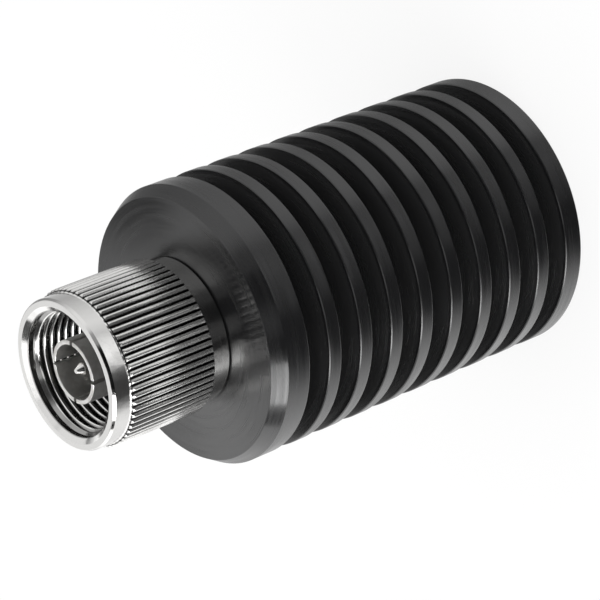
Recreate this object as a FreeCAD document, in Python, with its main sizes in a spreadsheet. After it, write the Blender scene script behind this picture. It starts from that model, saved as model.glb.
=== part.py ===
import FreeCAD, Part
import math
import os
import re

import Sketcher

# A coaxial terminator: a finned heatsink with a plug on its front, whose knurled nut turns freely.
# It stands on the heatsink's rear face, with the line's axis along +Z and the plug on top.
# Lengths are in millimetres.

SIZES = {
    # Heatsink, turned from bar, from its rear face forward
    "heatsink_radius": 18.0,
    "rear_disc_length": 2.7,
    "groove_width": 3.1,
    "fin_thickness": 1.9,
    "fin_count": 8,
    "front_flange_length": 5.2,
    "front_chamfer_length": 1.85,
    "front_chamfer_depth": 1.1,
    "edge_break": 0.2,
    "core_wall": 2.5,
    "bore_floor": 9.0,
    # Plug's coupling nut, from its rear end forward
    "thread_depth": 0.52,
    "thread_length": 7.0,
    "nut_wall": 2.62,
    "rear_collar_length": 2.35,
    "rear_collar_step": 0.23,
    "knurl_length": 11.9,
    "knurl_bevel": 0.5,
    "knurl_teeth": 66,
    "knurl_depth": 0.42,
    "knurl_land": 0.2,
    "front_collar_length": 2.45,
    "front_collar_step": 0.06,
    "front_bevel_length": 0.4,
    "front_bevel_depth": 0.19,
    "mouth_flare": 0.7,
    "mouth_flare_depth": 0.5,
    "mouth_depth": 0.65,
    "relief_depth": 0.62,
    "shoulder_setback": 0.6,
    # Connector body
    "barrel_length": 7.0,
    "barrel_passing": 0.43,
    "barrel_chamfer": 0.3,
    "flange_step": 2.0,
    "flange_thickness": 2.5,
    "seal_width": 1.0,
    "seal_height": 1.1,
    "ring_station": 3.0,
    "ring_thickness": 1.0,
    "ring_width": 1.2,
    "ring_bite": 0.5,
    "ring_groove_depth": 1.3,
    "ring_gap_angle": 26,
    # Line through the plug
    "line_bore_radius": 3.5,
    "line_core_radius": 1.52,
    "pin_radius": 0.83,
    "pin_length": 5.1,
    "pin_nose_length": 0.9,
    "pin_tip_radius": 0.3,
    "pin_shoulder_length": 3.1,
    "neck_radius": 1.0,
    "stud_radius": 0.8,
    "stud_length": 3.0,
    "ferrule_wall": 0.55,
    "ferrule_reach": 9.6,
    "ferrule_root_length": 1.3,
    "ferrule_root_step": 0.3,
    "ferrule_flange_step": 0.4,
    "ferrule_flange_thickness": 1.5,
    "ferrule_lip": 0.07,
    "ferrule_slot_width": 0.5,
    "ferrule_slot_length": 7.0,
    "ferrule_slots": 4,
    "ferrule_slot_angle": 45,
    "bead_length": 3.0,
    "bead_rim": 0.8,
    "bead_boss_length": 2.5,
    "gasket_thickness": 1.0,
    "gasket_width": 2.3,
    "gasket_inset": 0.3,
    # Load inside the heatsink
    "load_core_radius": 2.6,
    "load_bore_depth": 3.0,
    "line_taper_length": 5.0,
    "socket_length": 7.0,
    "socket_depth": 5.5,
    "socket_slot_length": 4.5,
    "finger_slot_width": 0.5,
    "finger_slots": 4,
    "rod_radius": 2.05,
    "cap_wall": 0.25,
    "cap_end": 0.4,
    "cap_length": 4.2,
    "cap_proud": 0.4,
    "sleeve_length": 27.8,
    "sleeve_wall": 3.0,
    "throat_length": 0.8,
    "sleeve_curve": 90.0,
    "collet_flange_thickness": 1.0,
    "collet_finger_length": 3.8,
    "collet_finger_wall": 0.8,
    "collet_finger_taper": 0.2,
    "clamp_nut_length": 4.8,
    "disc_spring_height": 1.2,
    "disc_spring_thickness": 0.5,
    "disc_spring_width": 2.3,
    # Clearances
    "nut_running_clearance": 0.05,
    "nut_end_gap": 0.15,
    "ring_side_clearance": 0.1,
    "seal_clearance": 0.02,
    "gasket_clearance": 0.05,
    "throat_clearance": 0.25,
    "cap_end_gap": 0.3,
    "spring_clearance": 0.3,
}

# Heights along the axis, from the heatsink's rear face
GROOVE_PITCH = "(groove_width + fin_thickness)"
FACE = f"(rear_disc_length + fin_count * {GROOVE_PITCH} + groove_width + front_flange_length)"
FLANGE_UNDERSIDE = f"({FACE} - flange_thickness)"
SLEEVE_REAR = "(bore_floor + disc_spring_height)"
BODY_REAR = f"({SLEEVE_REAR} + sleeve_length)"
BODY_FRONT = f"({FACE} + barrel_length)"
BEAD_REAR = f"({BODY_FRONT} - ferrule_flange_thickness - bead_length)"
SOCKET_END = f"({BODY_REAR} + load_bore_depth - socket_length)"
FRONT_CAP_END = f"({SOCKET_END} + socket_depth - cap_end_gap)"
COLLET_SEAT = f"({SLEEVE_REAR} + clamp_nut_length + collet_flange_thickness)"
REAR_CAP_FRONT = f"({COLLET_SEAT} + cap_proud)"
NUT_REAR = f"({FACE} + nut_end_gap)"

# Radii that neighbours share, from the line outward
FERRULE = "(line_bore_radius + ferrule_wall)"
FERRULE_ROOT = f"({FERRULE} + ferrule_root_step)"
FERRULE_FLANGE = f"({FERRULE_ROOT} + ferrule_flange_step)"
BEAD = "(line_bore_radius + bead_rim)"
GASKET_INSIDE = f"({FERRULE_ROOT} + gasket_clearance)"
GASKET_OUTSIDE = f"({GASKET_INSIDE} + gasket_width)"
BARREL = f"({GASKET_OUTSIDE} + gasket_inset)"
FLANGE = f"({BARREL} + flange_step)"
SHANK = f"({FLANGE} - seal_width)"
CORE = f"({SHANK} + core_wall)"
RING_GROOVE = f"({BARREL} - ring_groove_depth)"
RING_OUTSIDE = f"({BARREL} + ring_bite)"
THREAD_MINOR = f"({BARREL} + barrel_passing)"
KNURL = f"({THREAD_MINOR} + nut_wall)"
KNURL_ROOT = f"({KNURL} - knurl_depth)"
LINE_RATIO = "(line_bore_radius / line_core_radius)"
LOAD_BORE = f"(load_core_radius * {LINE_RATIO})"
CAP = "(rod_radius + cap_wall)"
FINGER = f"({CAP} + collet_finger_wall)"
COLLET_FLANGE = f"({SHANK} - sleeve_wall)"

doc = FreeCAD.newDocument("coaxial_terminator")
sheet = doc.addObject("Spreadsheet::Sheet", "Sizes")
for row, (alias, size) in enumerate(SIZES.items(), start=1):
    sheet.set(f"A{row}", alias)
    sheet.set(f"B{row}", str(size))
    sheet.setAlias(f"B{row}", alias)
doc.recompute()

sub_parts = []


def bound(formula):
    """The formula with each size in it read from the sheet."""
    return re.sub(r"[a-z]\w+", lambda name: "Sizes." + name[0], formula)


def value(formula):
    """The formula's present value."""
    return float(sheet.evalExpression(bound(formula)))


def new_body(name, place):
    """An empty body, named as its piece, with its own datum at the height `place`."""
    body = doc.addObject("PartDesign::Body", name)
    body.Label = name
    body.setExpression("Placement.Base.z", bound(place))
    sub_parts.append(body)
    return body


def new_sketch(body, name, role):
    """An empty sketch on one of the body's own origin planes."""
    sketch = body.newObject("Sketcher::SketchObject", f"{body.Name}_{name}")
    plane = [feature for feature in body.Origin.OriginFeatures if feature.Role == role]
    sketch.AttachmentSupport = [(plane[0], "")]
    sketch.MapMode = "FlatFace"
    return sketch


def pin_down(sketch, edge, direction, formula):
    """Bind how far the start of an edge lies from the origin in one direction."""
    axis = {"DistanceX": -2, "DistanceY": -1}[direction]
    if formula == "0":
        sketch.addConstraint(Sketcher.Constraint("PointOnObject", edge, 1, axis))
        return
    constraint = Sketcher.Constraint(direction, -1, 1, edge, 1, value(formula))
    index = sketch.addConstraint(constraint)
    sketch.setExpression(f"Constraints[{index}]", bound(formula))


def convex_arc(start, end, radius):
    """The arc that bulges to the right of the way from start to end."""
    chord = end - start
    half = chord.Length / 2
    outward = FreeCAD.Vector(chord.y, -chord.x, 0).normalize()
    sagitta = radius - math.sqrt(radius**2 - half**2)
    return Part.Arc(start, start + chord * 0.5 + outward * sagitta, end)


def draw(sketch, outline):
    """Draw a closed outline counterclockwise, each corner bound to the sizes.

    A corner is (across, along), and a third entry makes the edge that leaves it a convex arc of that radius.
    """
    corners = [FreeCAD.Vector(value(corner[0]), value(corner[1]), 0) for corner in outline]
    edges = []
    for corner, start, end in zip(outline, corners, corners[1:] + corners[:1]):
        if len(corner) == 3:
            edges.append(convex_arc(start, end, value(corner[2])))
        else:
            edges.append(Part.LineSegment(start, end))
    sketch.addGeometry(edges, False)
    for edge, corner in enumerate(outline):
        following = (edge + 1) % len(outline)
        sketch.addConstraint(Sketcher.Constraint("Coincident", edge, 2, following, 1))
    for edge, corner in enumerate(outline):
        pin_down(sketch, edge, "DistanceX", corner[0])
        pin_down(sketch, edge, "DistanceY", corner[1])
        if len(corner) == 3:
            index = sketch.addConstraint(Sketcher.Constraint("Radius", edge, value(corner[2])))
            sketch.setExpression(f"Constraints[{index}]", bound(corner[2]))


def turned(name, place, outline):
    """A turned piece: its half section, as (radius, height) corners, revolved about the axis."""
    body = new_body(name, place)
    section = new_sketch(body, "section", "XZ_Plane")
    draw(section, outline)
    turning = body.newObject("PartDesign::Revolution", f"{name}_turning")
    turning.Profile = section
    turning.ReferenceAxis = (section, ["V_Axis"])
    turning.Angle = 360
    body.Tip = turning
    doc.recompute()
    return body


def pattern_round(body, feature, name, count):
    """Repeat a feature evenly about the axis."""
    pattern = body.newObject("PartDesign::PolarPattern", f"{body.Name}_{name}")
    pattern.Originals = [feature]
    pattern.Axis = (feature.Profile[0], ["N_Axis"])
    pattern.Angle = 360
    pattern.setExpression("Occurrences", bound(count))
    body.Tip = pattern
    doc.recompute()


def slit(body, reach, width, length, count, outer, upward, angle="0"):
    """Saw slots into one end of a tube, from the height `reach` down, or up where `upward` is set.

    The first slot lies at `angle` degrees from +X.
    """
    before = body.Shape.Volume
    sketch = new_sketch(body, "slot", "XY_Plane")
    sketch.setExpression("AttachmentOffset.Base.z", bound(reach))
    sketch.setExpression("AttachmentOffset.Rotation.Angle", bound(angle))
    half = f"({width} / 2)"
    draw(sketch, [("0", f"-{half}"), (outer, f"-{half}"), (outer, half), ("0", half)])
    slot = body.newObject("PartDesign::Pocket", f"{body.Name}_slot")
    slot.Profile = sketch
    slot.Reversed = upward
    slot.setExpression("Length", bound(length))
    body.Tip = slot
    doc.recompute()
    pattern_round(body, slot, "slots", count)
    if body.Shape.Volume >= before:
        raise RuntimeError(f"the slots of {body.Name} cut nothing")


def make_heatsink():
    """Black anodised bar, bored from the front for the load, with square grooves that leave thin fins."""
    face_radius = "(heatsink_radius - front_chamfer_depth)"
    seal_floor = f"({FLANGE_UNDERSIDE} - seal_height)"
    body = turned(
        "heatsink",
        "0",
        [
            ("0", "0"),
            ("heatsink_radius - edge_break", "0"),
            ("heatsink_radius", "edge_break"),
            ("heatsink_radius", f"{FACE} - front_chamfer_length"),
            (face_radius, FACE),
            (FLANGE, FACE),
            (FLANGE, seal_floor),
            (SHANK, seal_floor),
            (SHANK, "bore_floor"),
            ("0", "bore_floor"),
        ],
    )
    section = new_sketch(body, "groove_section", "XZ_Plane")
    overcut = "(heatsink_radius + edge_break)"
    groove_end = "rear_disc_length + groove_width"
    draw(
        section,
        [
            (CORE, "rear_disc_length"),
            (overcut, "rear_disc_length"),
            (overcut, groove_end),
            (CORE, groove_end),
        ],
    )
    before = body.Shape.Volume
    groove = body.newObject("PartDesign::Groove", "heatsink_groove")
    groove.Profile = section
    groove.ReferenceAxis = (section, ["V_Axis"])
    groove.Angle = 360
    body.Tip = groove
    doc.recompute()
    grooves = body.newObject("PartDesign::LinearPattern", "heatsink_grooves")
    grooves.Originals = [groove]
    grooves.Direction = (section, ["V_Axis"])
    grooves.setExpression("Length", bound(f"fin_count * {GROOVE_PITCH}"))
    grooves.setExpression("Occurrences", bound("fin_count + 1"))
    body.Tip = grooves
    doc.recompute()
    if body.Shape.Volume >= before:
        raise RuntimeError("the heatsink's grooves cut nothing")


def make_coupling_nut():
    """Nut that draws the plug onto its mate: threaded mouth, knurled grip, and a rear bore on the barrel."""
    bore = f"({BARREL} + nut_running_clearance)"
    rear_collar = f"({KNURL_ROOT} - rear_collar_step)"
    front_collar = f"({KNURL_ROOT} - front_collar_step)"
    knurl_rear = "(rear_collar_length + knurl_bevel)"
    knurl_front = f"({knurl_rear} + knurl_length)"
    collar_rear = f"({knurl_front} + knurl_bevel)"
    front = f"({collar_rear} + front_collar_length)"
    major = f"({THREAD_MINOR} + thread_depth)"
    mouth = f"({front} - mouth_flare_depth)"
    thread_front = f"({mouth} - mouth_depth - thread_depth)"
    thread_rear = f"({thread_front} - thread_length)"
    relief = f"({THREAD_MINOR} + relief_depth)"
    shoulder = "(barrel_length - nut_end_gap - shoulder_setback)"
    groove_rear = "(ring_station - nut_end_gap - ring_side_clearance)"
    groove_front = "(ring_station - nut_end_gap + ring_thickness + ring_side_clearance)"
    body = turned(
        "coupling_nut",
        NUT_REAR,
        [
            (f"{bore} + edge_break", "0"),
            (f"{rear_collar} - edge_break", "0"),
            (rear_collar, "edge_break"),
            (rear_collar, "rear_collar_length"),
            (KNURL, knurl_rear),
            (KNURL, knurl_front),
            (front_collar, collar_rear),
            (front_collar, f"{front} - front_bevel_length"),
            (f"{front_collar} - front_bevel_depth", front),
            (f"{major} + mouth_flare", front),
            (major, mouth),
            (major, f"{mouth} - mouth_depth"),
            (THREAD_MINOR, thread_front),
            (THREAD_MINOR, thread_rear),
            (relief, f"{thread_rear} - relief_depth"),
            (relief, shoulder),
            (bore, shoulder),
            (bore, groove_front),
            (RING_OUTSIDE, groove_front),
            (RING_OUTSIDE, groove_rear),
            (bore, groove_rear),
            (bore, "edge_break"),
        ],
    )
    before = body.Shape.Volume
    tooth_pitch = f"(2 * {math.pi} * {KNURL} / knurl_teeth)"
    half_gap = f"(({tooth_pitch} - knurl_land) / 2)"
    overcut = f"({KNURL} + knurl_depth)"
    section = new_sketch(body, "knurl_section", "XY_Plane")
    draw(
        section,
        [
            (KNURL_ROOT, "0"),
            (overcut, f"-2 * {half_gap}"),
            (overcut, f"2 * {half_gap}"),
        ],
    )
    cut = body.newObject("PartDesign::Pocket", "coupling_nut_knurl_cut")
    cut.Profile = section
    cut.Reversed = True
    cut.setExpression("Length", bound(collar_rear))
    body.Tip = cut
    doc.recompute()
    pattern_round(body, cut, "knurl", "knurl_teeth")
    if body.Shape.Volume >= before:
        raise RuntimeError("the knurl cut nothing")


def make_retaining_ring():
    """Open spring ring that sits in the nut's groove and runs in the barrel's, so the nut can't slide off."""
    body = new_body("retaining_ring", f"{FACE} + ring_station")
    section = new_sketch(body, "section", "XZ_Plane")
    inside = f"({RING_OUTSIDE} - ring_width)"
    draw(
        section,
        [
            (inside, "0"),
            (RING_OUTSIDE, "0"),
            (RING_OUTSIDE, "ring_thickness"),
            (inside, "ring_thickness"),
        ],
    )
    bend = body.newObject("PartDesign::Revolution", "retaining_ring_bend")
    bend.Profile = section
    bend.ReferenceAxis = (section, ["V_Axis"])
    bend.setExpression("Angle", bound("360 - ring_gap_angle"))
    body.Tip = bend
    doc.recompute()


def make_connector_body():
    """Plated brass body: barrel for the nut, flange in the heatsink's face, shank screwed into its bore."""
    underside = f"({FLANGE_UNDERSIDE} - {BODY_REAR})"
    face = f"({underside} + flange_thickness)"
    front = f"({face} + barrel_length)"
    groove_rear = f"({face} + ring_station - ring_side_clearance)"
    groove_front = f"({face} + ring_station + ring_thickness + ring_side_clearance)"
    ferrule_seat = f"({front} - ferrule_flange_thickness)"
    bead_seat = f"({ferrule_seat} - bead_length)"
    turned(
        "connector_body",
        BODY_REAR,
        [
            (LOAD_BORE, "0"),
            (SHANK, "0"),
            (SHANK, underside),
            (FLANGE, underside),
            (FLANGE, face),
            (BARREL, face),
            (BARREL, groove_rear),
            (RING_GROOVE, groove_rear),
            (RING_GROOVE, groove_front),
            (BARREL, groove_front),
            (BARREL, f"{front} - barrel_chamfer"),
            (f"{BARREL} - barrel_chamfer", front),
            (FERRULE_FLANGE, front),
            (FERRULE_FLANGE, ferrule_seat),
            (BEAD, ferrule_seat),
            (BEAD, bead_seat),
            ("line_bore_radius", bead_seat),
            ("line_bore_radius", "load_bore_depth + line_taper_length"),
            (LOAD_BORE, "load_bore_depth"),
        ],
    )


def make_flange_seal():
    """Flat rubber seal that the flange presses on the foot of the heatsink's counterbore."""
    inside = f"({SHANK} + seal_clearance)"
    outside = f"({FLANGE} - seal_clearance)"
    turned(
        "flange_seal",
        f"{FLANGE_UNDERSIDE} - seal_height",
        [
            (inside, "0"),
            (outside, "0"),
            (outside, "seal_height"),
            (inside, "seal_height"),
        ],
    )


def make_outer_contact():
    """Thin ferrule that enters the mate's bore, slotted into four spring fingers."""
    front = "(ferrule_flange_thickness + ferrule_reach)"
    root_front = "(ferrule_flange_thickness + ferrule_root_length)"
    body = turned(
        "outer_contact",
        f"{BODY_FRONT} - ferrule_flange_thickness",
        [
            ("line_bore_radius", "0"),
            (FERRULE_FLANGE, "0"),
            (FERRULE_FLANGE, "ferrule_flange_thickness"),
            (FERRULE_ROOT, "ferrule_flange_thickness"),
            (FERRULE_ROOT, root_front),
            (FERRULE, root_front),
            (FERRULE, f"{front} - ferrule_lip"),
            (f"{FERRULE} - ferrule_lip", front),
            ("line_bore_radius + ferrule_lip", front),
            ("line_bore_radius", f"{front} - ferrule_lip"),
        ],
    )
    slit(
        body,
        front,
        "ferrule_slot_width",
        "ferrule_slot_length",
        "ferrule_slots",
        f"2 * {FERRULE}",
        upward=False,
        angle="ferrule_slot_angle",
    )


def make_mating_gasket():
    """Flat rubber ring on the barrel's end, which the mate's rim presses on."""
    turned(
        "mating_gasket",
        BODY_FRONT,
        [
            (GASKET_INSIDE, "0"),
            (GASKET_OUTSIDE, "0"),
            (GASKET_OUTSIDE, "gasket_thickness"),
            (GASKET_INSIDE, "gasket_thickness"),
        ],
    )


def make_front_insulator():
    """Bead that holds the centre contact, trapped between the body's step and the ferrule."""
    front = "(bead_length + bead_boss_length)"
    turned(
        "front_insulator",
        BEAD_REAR,
        [
            ("neck_radius", "0"),
            (BEAD, "0"),
            (BEAD, "bead_length"),
            ("line_bore_radius", "bead_length"),
            ("line_bore_radius", front),
            ("neck_radius", front),
        ],
    )


def make_center_contact():
    """Plated pin with a shoulder ahead of the bead, a neck through it and a threaded stud behind."""
    neck_front = "(stud_length + bead_length + bead_boss_length)"
    shoulder_front = f"({neck_front} + pin_shoulder_length)"
    tip = f"({shoulder_front} + pin_length)"
    turned(
        "center_contact",
        f"{BEAD_REAR} - stud_length",
        [
            ("0", "0"),
            ("stud_radius", "0"),
            ("stud_radius", "stud_length"),
            ("neck_radius", "stud_length"),
            ("neck_radius", neck_front),
            ("line_core_radius", neck_front),
            ("line_core_radius", shoulder_front),
            ("pin_radius", shoulder_front),
            ("pin_radius", f"{tip} - pin_nose_length"),
            ("pin_tip_radius", tip),
            ("0", tip),
        ],
    )


def make_inner_conductor():
    """Rod behind the bead that widens with the body's bore and ends in a slotted socket for the resistor."""
    front = f"({BEAD_REAR} - {SOCKET_END})"
    hole_floor = f"({front} - stud_length)"
    body = turned(
        "inner_conductor",
        SOCKET_END,
        [
            (CAP, "0"),
            ("load_core_radius", "0"),
            ("load_core_radius", "socket_length"),
            ("line_core_radius", "socket_length + line_taper_length"),
            ("line_core_radius", front),
            ("stud_radius", front),
            ("stud_radius", hole_floor),
            ("0", hole_floor),
            ("0", "socket_depth"),
            (CAP, "socket_depth"),
        ],
    )
    slit(
        body,
        "0",
        "finger_slot_width",
        "socket_slot_length",
        "finger_slots",
        "2 * load_core_radius",
        upward=True,
    )


def make_resistor():
    """Ceramic rod that carries the resistive film, with a metal cup pressed on each end."""
    rod_rear = f"({REAR_CAP_FRONT} - cap_length + cap_end)"
    rod_front = f"({FRONT_CAP_END} - cap_end)"
    rod_length = f"({rod_front} - {rod_rear})"
    turned(
        "resistor_rod",
        rod_rear,
        [
            ("0", "0"),
            ("rod_radius", "0"),
            ("rod_radius", rod_length),
            ("0", rod_length),
        ],
    )
    turned(
        "front_terminal_cap",
        f"{FRONT_CAP_END} - cap_length",
        [
            ("rod_radius", "0"),
            (CAP, "0"),
            (CAP, "cap_length"),
            ("0", "cap_length"),
            ("0", "cap_length - cap_end"),
            ("rod_radius", "cap_length - cap_end"),
        ],
    )
    turned(
        "rear_terminal_cap",
        f"{REAR_CAP_FRONT} - cap_length",
        [
            ("0", "0"),
            (CAP, "0"),
            (CAP, "cap_length"),
            ("rod_radius", "cap_length"),
            ("rod_radius", "cap_end"),
            ("0", "cap_end"),
        ],
    )


def make_taper_sleeve():
    """Outer conductor of the load: its bore narrows along the rod, so the line stays matched to its end."""
    seat = f"({COLLET_SEAT} - {SLEEVE_REAR})"
    throat = f"({CAP} + throat_clearance)"
    mouth = f"(rod_radius * {LINE_RATIO})"
    socket_room = f"({SOCKET_END} - {SLEEVE_REAR})"
    turned(
        "taper_sleeve",
        SLEEVE_REAR,
        [
            (COLLET_FLANGE, "0"),
            (SHANK, "0"),
            (SHANK, "sleeve_length"),
            (LOAD_BORE, "sleeve_length"),
            (LOAD_BORE, socket_room),
            (mouth, f"{socket_room} - ({LOAD_BORE} - {mouth})", "sleeve_curve"),
            (throat, f"{seat} + throat_length"),
            (throat, seat),
            (COLLET_FLANGE, seat),
        ],
    )


def make_ground_collet():
    """Slotted collet that grips the resistor's rear cup and earths it to the sleeve."""
    length = "(collet_finger_length + collet_flange_thickness)"
    body = turned(
        "ground_collet",
        f"{COLLET_SEAT} - {length}",
        [
            (CAP, "0"),
            (f"{FINGER} - collet_finger_taper", "0"),
            (FINGER, "collet_finger_length"),
            (COLLET_FLANGE, "collet_finger_length"),
            (COLLET_FLANGE, length),
            (CAP, length),
        ],
    )
    slit(
        body,
        "0",
        "finger_slot_width",
        "collet_finger_length",
        "finger_slots",
        f"2 * {FINGER}",
        upward=True,
    )


def make_clamp_nut():
    """Ring nut in the sleeve's rear that holds the collet on its seat and closes it on the cup."""
    finger_end = "(clamp_nut_length - collet_finger_length)"
    turned(
        "clamp_nut",
        SLEEVE_REAR,
        [
            (f"{FINGER} - collet_finger_taper", "0"),
            (COLLET_FLANGE, "0"),
            (COLLET_FLANGE, "clamp_nut_length"),
            (FINGER, "clamp_nut_length"),
            (f"{FINGER} - collet_finger_taper", finger_end),
        ],
    )


def make_disc_spring():
    """Coned spring washer on the bore's floor that keeps the sleeve pressed against the body."""
    outside = f"({SHANK} - spring_clearance)"
    inside = f"({outside} - disc_spring_width)"
    turned(
        "disc_spring",
        "bore_floor",
        [
            (inside, "0"),
            (outside, "disc_spring_height - disc_spring_thickness"),
            (outside, "disc_spring_height"),
            (inside, "disc_spring_thickness"),
        ],
    )


def export_sub_parts():
    """Stop on any failed object or bad shape, then write each sub-part's solid under its Label."""
    doc.recompute()
    for item in doc.Objects:
        if "Invalid" in item.State or "Error" in item.State:
            raise RuntimeError(f"{item.Label} failed: {item.State}")
    for item in sub_parts:
        if item.Shape.isNull() or not item.Shape.isValid():
            raise RuntimeError(f"{item.Label} has no valid shape")
    os.makedirs("parts", exist_ok=True)
    for item in sub_parts:
        item.Shape.exportStep(f"parts/{item.Label}.step")
        print(f"{item.Label}: {len(item.Shape.Solids)} solid, {item.Shape.Volume:.1f} mm3")


make_heatsink()
make_coupling_nut()
make_retaining_ring()
make_connector_body()
make_flange_seal()
make_outer_contact()
make_mating_gasket()
make_front_insulator()
make_center_contact()
make_inner_conductor()
make_resistor()
make_taper_sleeve()
make_ground_collet()
make_clamp_nut()
make_disc_spring()
export_sub_parts()
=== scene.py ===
"""Looks of a coaxial terminator: a black finned heatsink with a bright knurled plug on its front.

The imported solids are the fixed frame. The turned pieces that show are drawn here again at the same sizes,
with their edge breaks, the knurl's rounding and the coupling thread's helix, and every piece gets its finish.
Lengths are in millimetres up to the point where a mesh is made, and heights run along +Z from the heatsink's
rear face.
"""

import logging
import math
from dataclasses import dataclass, field
from enum import Enum
from typing import Any, Union

import bmesh
import bpy
import numpy as np
from mathutils import Euler, Matrix, Vector

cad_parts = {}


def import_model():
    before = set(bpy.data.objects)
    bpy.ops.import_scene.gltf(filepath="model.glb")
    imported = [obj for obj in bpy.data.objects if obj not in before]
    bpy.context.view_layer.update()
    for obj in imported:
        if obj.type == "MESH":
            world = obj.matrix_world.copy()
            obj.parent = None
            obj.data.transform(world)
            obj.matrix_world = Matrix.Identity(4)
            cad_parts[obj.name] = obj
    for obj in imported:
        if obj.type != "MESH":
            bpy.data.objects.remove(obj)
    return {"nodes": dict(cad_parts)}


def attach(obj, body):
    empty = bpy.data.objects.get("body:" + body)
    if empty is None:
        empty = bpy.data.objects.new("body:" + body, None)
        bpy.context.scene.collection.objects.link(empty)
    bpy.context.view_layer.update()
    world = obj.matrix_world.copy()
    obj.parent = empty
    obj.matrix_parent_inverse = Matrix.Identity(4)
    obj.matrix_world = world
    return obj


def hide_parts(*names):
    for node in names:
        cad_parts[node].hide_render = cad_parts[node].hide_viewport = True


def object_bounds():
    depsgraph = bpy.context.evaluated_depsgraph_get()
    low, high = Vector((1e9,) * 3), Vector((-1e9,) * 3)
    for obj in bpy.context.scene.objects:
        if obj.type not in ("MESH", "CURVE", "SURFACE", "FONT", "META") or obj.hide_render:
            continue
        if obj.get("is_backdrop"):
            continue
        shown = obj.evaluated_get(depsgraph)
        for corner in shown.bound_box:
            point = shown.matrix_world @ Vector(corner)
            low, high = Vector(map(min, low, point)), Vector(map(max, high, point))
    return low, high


log = logging.getLogger("terminator")

MM = 0.001
FULL_TURN = 2 * math.pi

# Points of a mesh that are nearer to each other than this become one
MERGE_DISTANCE = 0.0005
# Keeps a division by the distance from the axis finite
AXIS_GUARD = 1e-12
# Turns a gloss by a quarter: the tangent runs round the axis, and the gloss is wide across the tool lines
ACROSS_LINES = 0.25
# The values of a noise between which a roughness, a tone and the plate's mottle go from one end to the other
ROUGHNESS_SPAN = (0.3, 0.7)
TONE_SPAN = (0.35, 0.75)
MOTTLE_SPAN = (0.35, 0.7)


class Body(Enum):
    """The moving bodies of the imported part."""

    TERMINATOR = "terminator"
    NUT = "nut"


class Slot(Enum):
    """The record's material slots."""

    BLACK_ANODISE = "black_anodise"
    NICKEL_PLATE = "nickel_plate"
    BRIGHT_CONTACT = "bright_contact"
    SPRING_BRONZE = "spring_bronze"
    BARE_BRASS = "bare_brass"
    BLACK_RUBBER = "black_rubber"
    DARK_INSULATOR = "dark_insulator"
    CERAMIC_FILM = "ceramic_film"
    SPRING_STEEL = "spring_steel"


class Wire:
    """An output socket that takes part in arithmetic: an expression on wires adds its Math nodes."""

    def __init__(self, graph: "Graph", socket: bpy.types.NodeSocket) -> None:
        """Wrap a socket of a graph.

        Args:
            graph: the graph that the socket's node is in.
            socket: the output socket.
        """
        self.graph = graph
        self.socket = socket

    def math(self, operation: str, *operands: "Number") -> "Wire":
        """One Math node.

        Args:
            operation: the node's operation.
            operands: its inputs, in order.

        Returns:
            The node's output.
        """
        node = self.graph.add("ShaderNodeMath", {"operation": operation}, dict(enumerate(operands)))
        return Wire(self.graph, node.outputs["Value"])

    def __add__(self, other: "Number") -> "Wire":
        """Sum."""
        return self.math("ADD", self, other)

    def __radd__(self, other: "Number") -> "Wire":
        """Sum, with the number first."""
        return self.math("ADD", other, self)

    def __sub__(self, other: "Number") -> "Wire":
        """Difference."""
        return self.math("SUBTRACT", self, other)

    def __rsub__(self, other: "Number") -> "Wire":
        """Difference, with the number first."""
        return self.math("SUBTRACT", other, self)

    def __mul__(self, other: "Number") -> "Wire":
        """Product."""
        return self.math("MULTIPLY", self, other)

    def __rmul__(self, other: "Number") -> "Wire":
        """Product, with the number first."""
        return self.math("MULTIPLY", other, self)

    def __truediv__(self, other: "Number") -> "Wire":
        """Quotient."""
        return self.math("DIVIDE", self, other)

    def __rtruediv__(self, other: "Number") -> "Wire":
        """Quotient, with the number first."""
        return self.math("DIVIDE", other, self)

    def __pow__(self, other: "Number") -> "Wire":
        """Power."""
        return self.math("POWER", self, other)

    def __rpow__(self, other: "Number") -> "Wire":
        """Power, with the number first."""
        return self.math("POWER", other, self)

    def atan2(self, other: "Number") -> "Wire":
        """Angle of the point (other, self)."""
        return self.math("ARCTAN2", self, other)

    def at_most(self, other: "Number") -> "Wire":
        """The smaller of two values."""
        return self.math("MINIMUM", self, other)

    def rise(self, low: float, high: float, start: float = 0.0, end: float = 1.0) -> "Wire":
        """A smooth step between two values.

        Args:
            low: where it starts.
            high: where it ends. It may be below `low`.
            start: its value at `low`.
            end: its value at `high`.

        Returns:
            The step's value.
        """
        node = self.graph.add(
            "ShaderNodeMapRange",
            {"interpolation_type": "SMOOTHSTEP"},
            {"Value": self, "From Min": low, "From Max": high, "To Min": start, "To Max": end},
        )
        return Wire(self.graph, node.outputs["Result"])


Number = Union[Wire, float]
Colour = tuple[float, float, float]


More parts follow.
